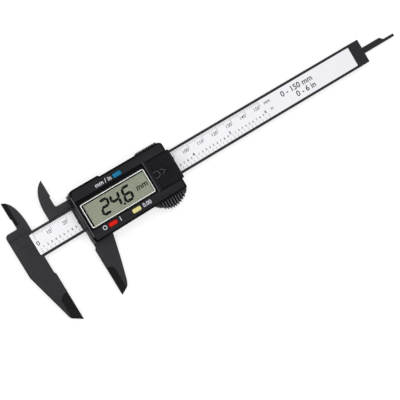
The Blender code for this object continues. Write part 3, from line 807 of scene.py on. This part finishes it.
def moving_outside_jaw():
    outline = [(0.9, -13.0), (0.9, -18.1), (0.0, -19.4), (0.0, JAW_TIP)]
    outline += curve((4.3, -45.6), (5.0, -45.0), (5.5, -44.2), (6.2, -42.4), 6)
    outline += [(9.7, -30.0), (13.9, -13.0)]
    jaw = prism("moving_outside_jaw", outline, BEAM_BACK, BEAM_FRONT, "composite", SLIDER,
                (1.0, 1.0, 0.5))
    # the jaw's rounded rims take a near-black painted shade
    round_rims(jaw, JAW_RIM, 3, "painted_shade")
    return jaw


def moving_inside_jaw():
    root = 7.6
    outline = [(4.9, root), (4.9, SHOULDER_TOP - 0.1), (-5.7, SHOULDER_TOP - 0.1)]
    outline += list(reversed(arc((-5.6, SHOULDER_TOP + 0.9), 1.0, 180, 270)))
    outline += [(-6.6, 18.3), (INSIDE_FACE, 18.9)]
    outline += curve((INSIDE_FACE, INSIDE_TIP), (-10.5, 26.5), (-13.0, 20.5), (JAW_LEFT, 13.0))
    outline += [(JAW_LEFT, root)]
    return prism("moving_inside_jaw", outline, HALF_LAP_FRONT, BEAM_FRONT, "composite", SLIDER)


def moving_inside_bevel():
    """A tool that thins the moving inside jaw towards its measuring edge, and paints the face that it cuts
    darker as painted shade.
    """
    left = -8.5
    outline = rectangle(left, INSIDE_FACE + 1, 14.2, 29.5)
    return prism("moving_inside_bevel", outline, HALF_LAP_FRONT - 1,
                 lambda x, y: HALF_LAP_FRONT + INSIDE_SLOPE * (x - left), "tip_bevel_shade", SLIDER)


def thumb_ends():
    """The smooth stretches before the thumb grip's first rib and after its last."""
    top = FRAME_TOP - 0.3
    seat = THUMB_INNER - 0.05
    lead_in = [(40.3, -14.0), (41.3, THUMB_INNER), (44.1, -18.5), (44.9, -18.5), (44.9, -14.0)]
    lead_out = [(58.5, -14.0), (58.5, -18.4), (60.1, -17.8), (61.5, -16.4), (61.6, -14.9), (60.2, -14.0)]
    ramp = [(41.5, seat), (44.2, -18.4), (44.8, -18.4), (44.8, seat)]
    shelf = [(58.6, seat), (58.6, -18.3), (60.0, -17.7), (61.3, -16.3), (61.4, seat)]
    return (prism("thumb_lead_in", lead_in, BEAM_BACK, top, "composite", SLIDER),
            prism("thumb_lead_out", lead_out, BEAM_BACK, top, "composite", SLIDER),
            prism("thumb_ramp", ramp, FRAME_TOP - 1, lambda x, y: 6.1 + (x - 41.5) * 0.6,
                  "composite", SLIDER),
            prism("thumb_shelf", shelf, FRAME_TOP - 1, 8.1, "composite", SLIDER))


def thumb_and_finger_grips():
    tuck = FRAME_TOP - 0.2
    # the thumb grip's rib crests take a lighter paint, a painted highlight
    thumb = grip("thumb_ribs", crescent, THUMB_FIRST, THUMB_PITCH, THUMB_RIBS, THUMB_INNER,
                 (BEAM_BACK, 7.8, 8.7, tuck), 1.1, "raised_highlight", 1.9)
    finger = grip("finger_ribs", lambda x: 15.6, FINGER_FIRST, FINGER_PITCH, FINGER_RIBS, 14.7,
                  (BEAM_BACK, 7.6, 8.8, tuck), 0.5, "composite")
    return thumb, finger


def frame_lip():
    """The frame's short step over the beam, left of the housing."""
    return prism("frame_lip", rectangle(-0.2, 3.0, -7.5, 7.5), WEB_BACK, FRAME_TOP - 0.1,
                 "composite", SLIDER)


def cut_frame_spaces(base):
    """The beam's channel, the gib's pocket and the window that the sensor reads through."""
    channel = rectangle(-20, 80, -CHANNEL_HALF, CHANNEL_HALF)
    pocket = rectangle(9.6, 54.4, 7.0, 8.95)
    window = rectangle(8.0, 42.0, -6.6, 6.6, 0.8)
    cut(base, cutter("beam_channel", channel, BEAM_BACK - 1, WEB_BACK),
        cutter("gib_pocket", pocket, BEAM_BACK - 1, 5.2),
        cutter("sensor_window", window, WEB_BACK - 1, FRAME_TOP + 1))


def build_slider_frame():
    base = frame_moulding()
    join(base, moving_outside_jaw(), moving_inside_jaw(), *thumb_ends(), *thumb_and_finger_grips(),
         frame_lip())
    cut_frame_spaces(base)
    cut(base, moving_inside_bevel())
    cut(base, *knife_tools("moving_jaw_bevel", SLIDER, 0.0, 4.0, -31.0))
    mount(base, "slider", "composite", "slider_frame")


# ======== the housing


def housing_outline():
    """The shell's foot.  Its lower edge rises slightly towards the right."""
    outline = curve((0.3, -14.2), (0.5, -15.3), (0.9, -15.98), (2.2, -15.98), 6)
    outline += [(38.0, -15.6)] + arc((59.65, -14.4), 1.2, 270, 360)
    outline += arc((58.35, 11.9), 2.5, 0, 90)
    outline += [(21.5, 14.4), (20.7, 15.3)]
    outline += curve((4.2, 15.3), (2.6, 15.3), (1.5, 14.0), (1.2, 13.0), 5)
    outline += [(1.0, 12.3)]
    return outline


def finger_notches():
    """Notches in the front's top edge, between the bumps of the finger grip, their faces painted near-black
    as painted shade.
    """
    mesh = bmesh.new()
    for index in range(FINGER_RIBS + 1):
        middle = FINGER_FIRST + FINGER_PITCH * (index - 0.5)
        mark_mesh(mesh, arc((middle, 14.5), 0.9, 225, 315, 4) + [(middle + 0.7, 16.0), (middle - 0.7, 16.0)],
                  9.0, HOUSING_FRONT + 1)
    return new_object("finger_notches", mesh, "painted_shade", SLIDER)


def housing_blank():
    """The solid shell, whose left side leans in towards its front."""
    foot = housing_outline()
    front = [(x + 1.1 * max(0.0, 1 - x / 6.0), y) for x, y in foot]
    blank = stack("front_shell", [(foot, HOUSING_BACK), (foot, 10.0), (front, HOUSING_FRONT)],
                  "housing", SLIDER, (1.0, 0.12, 0.0))
    spare_rim(blank, 0.3, SLIDER.x + 3.0 * MM)
    # the shell's rounded rims take a near-black painted shade
    round_rims(blank, 1.15, 6, "painted_shade")
    return blank


def cut_rooms(housing):
    """The inside, higher under the display than under the battery."""
    x0, x1, y0, y1 = ROOM
    room = rectangle(x0, x1, y0, y1, 1.2)
    display_room = rectangle(x0, DISPLAY_ROOM_RIGHT, y0, y1, 1.2)
    cut(housing, cutter("inner_space", room, HOUSING_BACK - 1, BATTERY_CEILING),
        cutter("display_space", display_room, BATTERY_CEILING - 1, CEILING))


def cut_field(housing):
    """The sunken field round the display, and the opening for the bezel, their new faces painted near-black
    as painted shade.
    """
    x0, x1, y0, y1 = FIELD_BOX
    field = rectangle(x0, x1, y0, y1, 0.8)
    opening = centred(DISPLAY, (BEZEL[0] + 0.6, BEZEL[1] + 0.6), 1.0)
    cut(housing, cutter("display_field", field, FIELD, HOUSING_FRONT + 1, "field"))
    cut(housing, cutter("display_opening", opening, CEILING - 2, FIELD + 1, "field"))


def cut_cover_seat(housing):
    """The slot for the cover's tongues, the mouth above it and the battery's well below."""
    left, right = COVER_BOX[0] - 0.3, 70
    y0, y1 = COVER_BOX[2:]
    slot = rectangle(left, right, y0 - TONGUE - 0.3, y1 + TONGUE + 0.3)
    mouth = rectangle(left, right, y0 - 0.3, y1 + 0.3)
    well = rectangle(47.2, 59.4, y0 + 0.7, y1 - 0.7, 1.0)
    cut(housing, cutter("cover_slot", slot, SLOT_BACK, SLOT_FRONT),
        cutter("cover_mouth", mouth, SLOT_BACK + 0.5, HOUSING_FRONT + 1),
        cutter("battery_well", well, BATTERY_CEILING - 1, SLOT_BACK + 0.5))


def cut_button_holes(housing):
    size = (BUTTON_SIZE[0] + 0.4, BUTTON_SIZE[1] + 0.4)
    for name, centre in BUTTONS.items():
        outline = centred(centre, size, 0.9)
        # the holes' walls are painted near-black as painted shade
        cut(housing, cutter(name + "_hole", outline, CEILING - 1.5, HOUSING_FRONT + 1, "field"))


def build_housing():
    housing = housing_blank()
    cut_rooms(housing)
    cut_field(housing)
    cut_cover_seat(housing)
    cut_button_holes(housing)
    cut(housing, finger_notches())
    ease(housing, 0.12, 2, 50)
    mount(housing, "slider", "housing", "front_housing")


def build_beads():
    """The slim raised lines at the left and right ends of the sunken field, painted lighter as painted
    highlights.
    """
    build_bead("field_left_bead", rectangle(1.75, 2.25, -12.6, 12.2, 0.2), "raised_highlight")
    build_bead("field_right_bead", rectangle(45.3, 46.0, FIELD_BOX[2], FIELD_BOX[3], 0.15), "relief_highlight")


def build_bead(name, outline, paint):
    """A slim raised line on the housing's front."""
    bead = prism(name, outline, HOUSING_FRONT - 0.3, HOUSING_FRONT + 0.1, paint, SLIDER, (1.0, 0.0, 0.0))
    round_rims(bead, 0.12, 3)
    mount(bead, "slider", "housing")


def build_legends():
    """Plain marks beside the buttons: unit signs, the off and on symbols, and noughts."""
    z = HOUSING_FRONT
    mesh = bmesh.new()
    text_into(mesh, "mm / in", 3.3, 26.7, 10.7, z, bold=0.07)
    text_into(mesh, "0.00", 3.1, 33.6, -11.7, z, "LEFT", bold=0.07)
    ring = arc((9.6, -11.2), 1.25, 0, 360, 32)[:-1]
    hole = arc((9.6, -11.2), 0.8, 0, 360, 32)[:-1]
    for index in range(32):
        after = (index + 1) % 32
        mark_mesh(mesh, [ring[index], ring[after], hole[after], hole[index]], z, z + PRINT)
    bmesh.ops.remove_doubles(mesh, verts=mesh.verts, dist=0.0005)
    mark_mesh(mesh, centred((19.4, -11.3), (0.5, 2.5), 0.1, 2), z, z + PRINT)
    printed("button_legends", mesh, "legend", SLIDER, "slider")


# ======== display


SEGMENTS = {"2": "abged", "4": "fgbc", "6": "acdefg"}


def segment_shapes(width, height, stroke):
    """Seven slim bars with pointed ends, keyed by the usual segment letters."""
    half = stroke / 2
    gap = 0.03
    middle = height / 2

    def across(y):
        return [(gap, y), (gap + half, y + half), (width - gap - half, y + half), (width - gap, y),
                (width - gap - half, y - half), (gap + half, y - half)]

    def upright(x, low, high):
        return [(x, low + gap), (x + half, low + gap + half), (x + half, high - gap - half), (x, high - gap),
                (x - half, high - gap - half), (x - half, low + gap + half)]

    return {"a": across(height), "g": across(middle), "d": across(0.0),
            "f": upright(0.0, middle, height), "b": upright(width, middle, height),
            "e": upright(0.0, 0.0, middle), "c": upright(width, 0.0, middle)}


def build_reading():
    """The reading, 24.6, in sloping seven-segment figures on the display glass."""
    z = GLASS_FRONT
    width, height, slope = 4.55, 7.7, 0.16
    shapes = segment_shapes(width, height, 1.5)
    mesh = bmesh.new()
    base = -5.3
    for figure, left in (("2", 13.1), ("4", 19.7), ("6", 27.2)):
        for letter in SEGMENTS[figure]:
            outline = [(left + x + slope * y, base + y) for x, y in shapes[letter]]
            mark_mesh(mesh, outline, z, z + PRINT)
    mark_mesh(mesh, arc((26.0, base - 0.25), 0.68, 0, 360, 16)[:-1], z, z + PRINT)
    printed("reading_figures", mesh, "segment", SLIDER, "slider")
    unit = bmesh.new()
    text_into(unit, "mm", 4.7, 42.7, -1.7, z, shear=0.15, bold=0.09)
    printed("reading_unit", unit, "faint", SLIDER, "slider")


def build_bezel():
    bezel = prism("silver_bezel", centred(DISPLAY, BEZEL, 1.0), CEILING, FIELD + 0.35, "silver", SLIDER,
                  (1.0, 0.0, 0.0))
    round_rims(bezel, 0.3, 4)
    opening = centred(DISPLAY, BEZEL_INSIDE, 0.5)
    cut(bezel, cutter("bezel_opening", opening, CEILING - 1, FIELD + 1))
    ease(bezel, 0.08, 2, 50)
    mount(bezel, "slider", "silver", "display_bezel")


def build_window():
    outline = centred(DISPLAY, (BEZEL_INSIDE[0] - 0.5, BEZEL_INSIDE[1] - 0.5), 0.4)
    pane = prism("window_pane", outline, 13.0, 13.6, "window", SLIDER, (1.0, 1.0, 0.0))
    round_rims(pane, 0.1, 3)
    mount(pane, "slider", "window", "display_window")


def build_glass():
    """The liquid crystal panel, with the seam of its two panes cut round its side."""
    panel = prism("display_glass_pair", centred(DISPLAY, (39.8, 14.4), 0.2), GLASS_BACK, GLASS_FRONT,
                  "lcd", SLIDER, (1.0, 1.0, 0.0))
    round_rims(panel, 0.12, 2)
    seam = cutter("glass_seam", centred(DISPLAY, (42.0, 16.8)), 11.85, 11.95)
    cut(seam, cutter("glass_core", centred(DISPLAY, (39.2, 13.8), 0.2), 11.0, 12.9))
    cut(panel, seam)
    mount(panel, "slider", "lcd", "lcd_panel")


def build_bezel_shadow():
    """The bezel's shadow on the display glass, painted as a near-black border along the left and the top."""
    low, high = GLASS_FRONT, GLASS_FRONT + 0.05
    mask = prism("painted_bezel_shadow", centred(DISPLAY, (39.7, 14.3), 0.3), low, high, "field", SLIDER)
    opening = rectangle(5.6, 44.0, -8.2, 4.75, 0.2)
    cut(mask, cutter("bezel_shadow_opening", opening, low - 1, high + 1))
    mount(mask, "slider", "lcd")


# ======== buttons, cover, back


def build_buttons():
    for name, paint in (("unit", "blue"), ("power", "red"), ("zero", "yellow")):
        centre = BUTTONS[name]
        cap = prism(name + "_cap", centred(centre, BUTTON_SIZE, 0.8), 10.3, BUTTON_TOP, paint, SLIDER,
                    (1.0, 0.2, 0.0))
        round_rims(cap, 0.38, 5)
        collar = (BUTTON_SIZE[0] + 1.2, BUTTON_SIZE[1] + 1.2)
        join(cap, prism(name + "_collar", centred(centre, collar, 0.9), 11.8, CEILING - 0.3, paint, SLIDER))
        mount(cap, name + "_button", paint, name + "_button")


def build_pads():
    """Silicone pads under the caps, each with a mesh of its own."""
    for name, centre in BUTTONS.items():
        foot = centred(centre, (4.6, 2.2), 0.6)
        head = centred(centre, (4.1, 1.8), 0.45)
        pad = stack(name + "_pad_moulding", [(foot, 7.7), (foot, 8.5), (head, 10.0)], "silicone", SLIDER,
                    (1.0, 0.0, 0.0))
        round_rims(pad, 0.25, 3)
        mount(pad, "slider", "silicone", name + "_button_pad")
        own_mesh(pad)


def ribbed_section(y0, y1, back, front):
    """The cover's cross-section: rounded ribs along the beam on a flat plate."""
    pitch, height, half = 1.8, 0.45, 0.5
    points = [(y0, back), (y1, back), (y1, front - 0.25), (y1 - 0.25, front)]
    count = 10
    middle = (y0 + y1) / 2
    for rib in range(count):
        centre = middle + pitch * ((count - 1) / 2 - rib)
        for step in range(7):
            angle = math.pi * step / 6
            points.append((centre + half * math.cos(angle), front - height + height * math.sin(angle)))
    points += [(y0 + 0.25, front), (y0, front - 0.25)]
    return points


def door_marks():
    """The raised arch and arrow that show which way the cover slides off, painted lighter as painted
    highlight.
    """
    y = (COVER_BOX[2] + COVER_BOX[3]) / 2
    top = HOUSING_FRONT + 0.12
    arch = [(47.7, y - 2.0)] + arc((49.3, y), 2.0, -90, 90, 16) + [(47.7, y + 2.0), (47.7, y + 1.5)]
    arch += list(reversed(arc((49.3, y), 1.5, -90, 90, 16))) + [(47.7, y - 1.5)]
    arrow = [(51.9, y + 1.7), (54.2, y), (51.9, y - 1.7), (52.6, y - 1.7), (55.0, y), (52.6, y + 1.7)]
    return (prism("door_arch", arch, CEILING + 0.3, top, "relief_highlight", SLIDER),
            prism("door_arrow", arrow, CEILING + 0.3, top, "relief_highlight", SLIDER))


def build_battery_cover():
    x0, x1, y0, y1 = COVER_BOX
    front = HOUSING_FRONT
    mesh = bmesh.new()
    section = ribbed_section(y0, y1, CEILING, front)
    rings = [[mesh.verts.new((x, y, z)) for y, z in section] for x in (x0, x1)]
    skin(mesh, rings)
    cover = new_object("battery_door", mesh, "cover", SLIDER)
    tongues = rectangle(x0 + 0.2, x1 - 0.9, y0 - TONGUE, y1 + TONGUE, 0.3, 3)
    lip = rectangle(x1 - 0.3, x1 + 0.4, y0 + 0.4, y1 - 0.4, 0.3, 4)
    rim = rectangle(x0, x0 + 0.9, y0 + 0.2, y1 - 0.2, 0.2, 3)
    join(cover, prism("door_tongues", tongues, CEILING, 13.5, "cover", SLIDER),
         prism("door_lip", lip, 10.6, front - 0.2, "cover", SLIDER),
         prism("door_rim", rim, CEILING + 0.2, front - 0.02, "cover", SLIDER))
    join(cover, *door_marks())
    mount(cover, "battery_cover", "cover", "battery_cover")


def build_back():
    outline = rectangle(BACK_PLATE_LEFT, 60.0, -13.8, 13.8, 1.5)
    plate = prism("back_cover_plate", outline, 0.0, BACK_PLATE_FRONT, "plate", SLIDER, (0.2, 1.0, 0.0))
    round_rims(plate, 0.35, 4)
    cut(plate, cutter("hook_slot", rectangle(44.4, 47.8, -1.3, 1.3, 0.3, 3), -1, 3))
    sink = [(2.25, -0.2), (2.25, 0.25), (1.2, 1.25), (1.2, 2)]
    profile = [(1.5, 0.1), (1.8, 0.14), (1.9, 0.28), (0.85, 1.3), (0.8, 4.6), (0.5, 4.8)]
    for index, (x, y) in enumerate(PLATE_SCREWS):
        centre = SLIDER + Vector((x, y, 0.0)) * MM
        screw = sunk_screw(plate, f"plate_screw_{index + 1}", centre, sink, profile, (0.1, 0.6, 1.15))
        mount(screw, "slider", "steel", f"back_plate_screw_{index + 1}")
    mount(plate, "slider", "composite", "back_plate")


def build_rod():
    tip = BEAM_END
    outline = [(ROD_LEFT, -ROD_HALF), (tip, -ROD_HALF), (tip, -0.1), (tip - 7.6, -0.1)]
    outline += [(tip - 9.9, ROD_HALF), (ROD_LEFT, ROD_HALF)]
    rod = prism("depth_bar", outline, ROD_BACK, ROD_FRONT, "composite", SLIDER, (1.0, 1.0, 1.0))
    round_rims(rod, 0.18, 3)
    hook = rectangle(44.8, 47.4, -0.9, 0.9, 0.2, 3)
    join(rod, prism("depth_bar_hook", hook, 0.4, ROD_BACK + 0.5, "composite", SLIDER))
    mount(rod, "slider", "composite", "depth_rod")


def build_battery():
    """The button cell: plated can, crimped edge, seal and cap."""
    radius, low, high = 5.8, 7.1, 12.5
    profile = [(4.0, low), (4.5, low + 0.05), (4.6, low + 0.4), (5.1, low + 0.45), (5.45, low + 0.5),
               (5.7, low + 0.7), (radius, low + 1.0), (radius, high - 0.5), (5.72, high - 0.2),
               (5.5, high - 0.04), (5.2, high), (4.3, high), (4.2, high - 0.06), (1.0, high - 0.06)]
    cell = turned("button_cell", profile, "steel", SLIDER + Vector((*BATTERY, 0.0)) * MM, 64)
    ease(cell, 0.06, 2, 30)
    mount(cell, "slider", "steel", "battery_cell")


def paint_inner_nodes():
    """The pieces that stay as the CAD made them."""
    paints = {
        "scale_grid_board": "board", "circuit_board": "board", "lcd_holder": "holder",
        "zebra_connector": "rubber", "controller_chip": "epoxy", "quartz_crystal": "steel",
        "battery_contact_positive": "brass", "battery_contact_negative": "brass", "gib_strip": "brass",
        "board_screw_1": "steel", "board_screw_2": "steel",
    }
    for index in range(1, 5):
        paints[f"housing_screw_{index}"] = "steel"
    for node, paint in paints.items():
        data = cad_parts[node].data
        data.materials.clear()
        data.materials.append(PAINT[paint])


# ======== studio


def add_camera():
    data = bpy.data.cameras.new("camera")
    data.lens = 70.92
    data.sensor_width = 36.0
    camera = bpy.data.objects.new("camera", data)
    camera.location = BEAM + Vector((-19.42, -3.88, 440.23)) * MM
    camera.rotation_euler = Euler([math.radians(a) for a in (4.969, -13.500, -31.741)], "XYZ")
    bpy.context.scene.collection.objects.link(camera)
    bpy.context.scene.camera = camera


def add_floor():
    mesh = bmesh.new()
    bmesh.ops.create_grid(mesh, x_segments=1, y_segments=1, size=3.0)
    data = bpy.data.meshes.new("studio_floor")
    mesh.to_mesh(data)
    mesh.free()
    floor = bpy.data.objects.new("studio_floor", data)
    bpy.context.scene.collection.objects.link(floor)
    nodes = Nodes("pale_floor")
    tone = nodes.ramp(nodes.noise(3.0), [(0.0, (0.54, 0.54, 0.54)), (1.0, (0.56, 0.56, 0.56))])
    data.materials.append(nodes.finish(tone, None, None, Roughness=0.9, Specular_IOR_Level=0.0,
                                       Emission_Color=(1.0, 1.0, 1.0, 1.0), Emission_Strength=0.58))


def add_light(name, place, size, power, aim=(-0.05, 0.0, 0.0)):
    data = bpy.data.lights.new(name, "AREA")
    data.shape = "DISK"
    data.size = size
    data.energy = power
    light = bpy.data.objects.new(name, data)
    light.location = place
    light.rotation_euler = (Vector(aim) - Vector(place)).to_track_quat("-Z", "Y").to_euler()
    bpy.context.scene.collection.objects.link(light)


def add_studio():
    world = bpy.data.worlds.new("studio")
    bpy.context.scene.world = world
    world.use_nodes = True
    background = world.node_tree.nodes["Background"]
    background.inputs["Color"].default_value = (1.0, 1.0, 1.0, 1.0)
    background.inputs["Strength"].default_value = 0.28
    bpy.context.scene.view_settings.view_transform = "Standard"
    add_light("overhead", (-0.05, 0.05, 1.1), size=1.4, power=10.5)
    add_light("window_side", (-0.8, 0.55, 0.8), size=0.35, power=1.6)


add_camera()
add_floor()
add_studio()
build_beam()
build_rod_guide()
build_film()
build_ticks()
build_figures()
build_slider_frame()
build_housing()
build_beads()
build_legends()
build_bezel()
build_window()
build_glass()
build_bezel_shadow()
build_reading()
build_buttons()
build_pads()
build_battery_cover()
build_back()
build_rod()
build_battery()
paint_inner_nodes()

bpy.context.view_layer.update()
